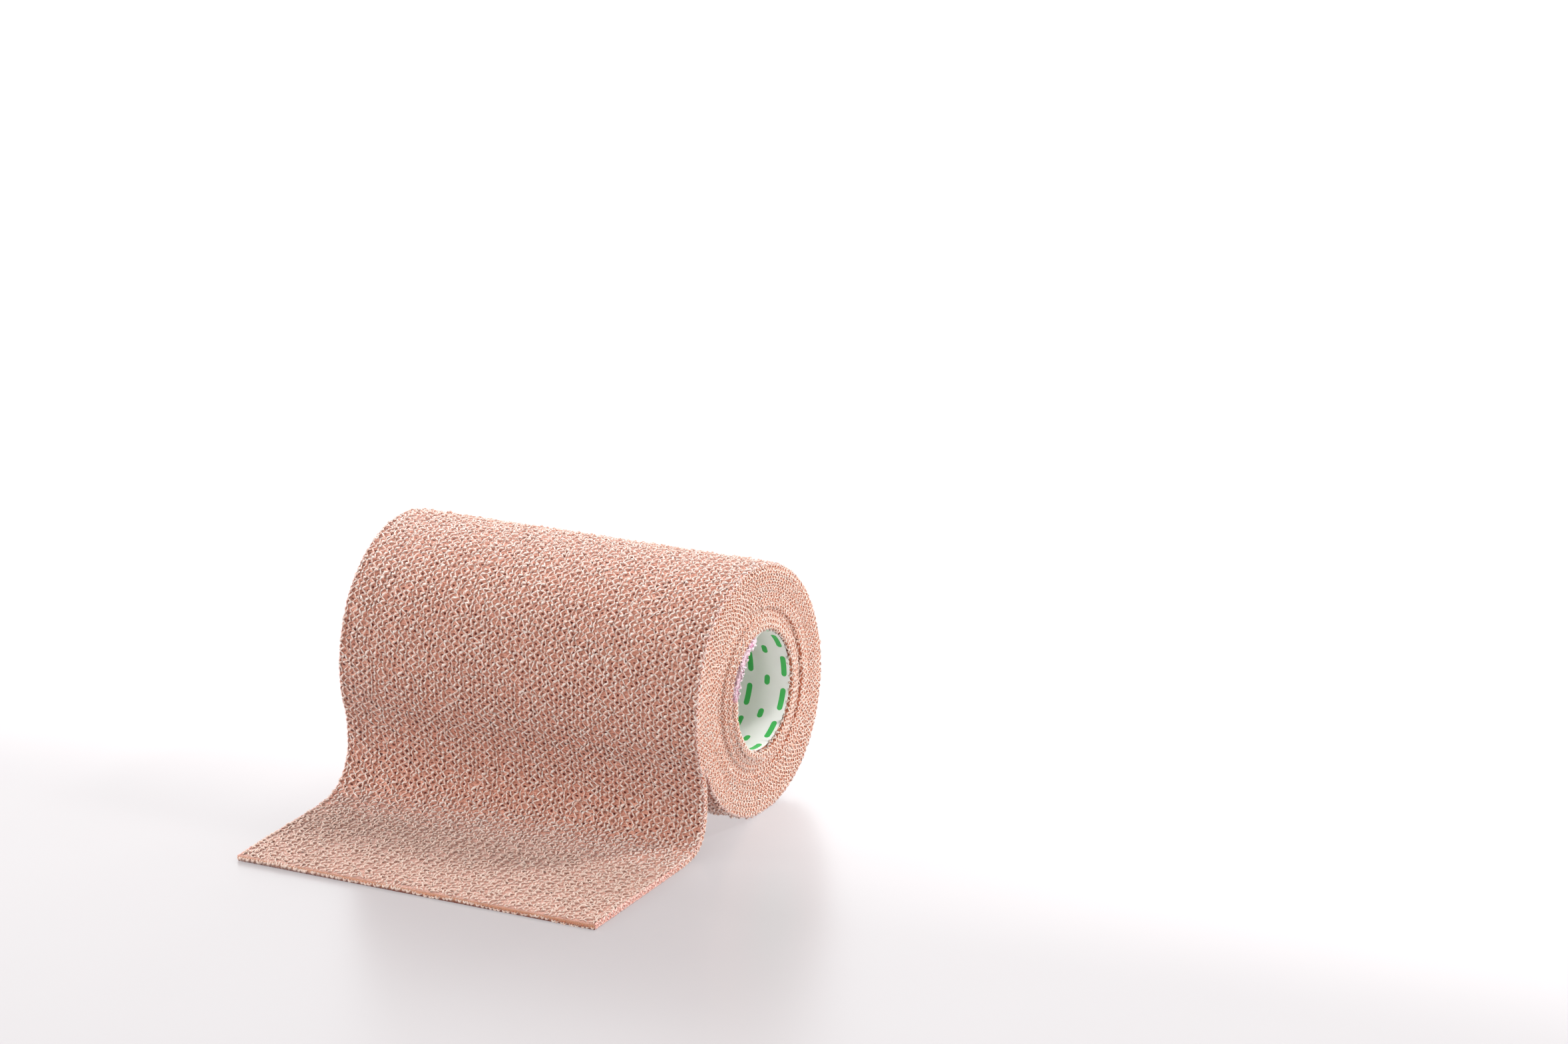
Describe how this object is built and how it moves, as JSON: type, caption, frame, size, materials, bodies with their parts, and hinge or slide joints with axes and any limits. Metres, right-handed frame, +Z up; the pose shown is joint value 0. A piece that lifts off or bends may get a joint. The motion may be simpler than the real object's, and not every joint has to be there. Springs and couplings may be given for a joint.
{
  "type": "cohesive bandage roll",
  "caption": "Wide elastic crepe bandage wound on a thin open sleeve and lying on its side, with a loose end running down its front and flat along the surface.",
  "frame": {"origin": "bottom centre of the whole object's box, on the surface it lies on", "axes": "+X along the roll's axis, -Y towards the loose end, +Z up"},
  "size_m": [0.1032, 0.111, 0.0621],
  "materials": {
    "crepe_cloth": "open elastic crepe weave, cream zigzag yarns over a salmon ground",
    "liner_film": "smooth white film with a faint satin sheen"
  },
  "bodies": {
    "root": {"bandage": "crepe_cloth", "core_liner": "liner_film"}
  },
  "joints": []
}
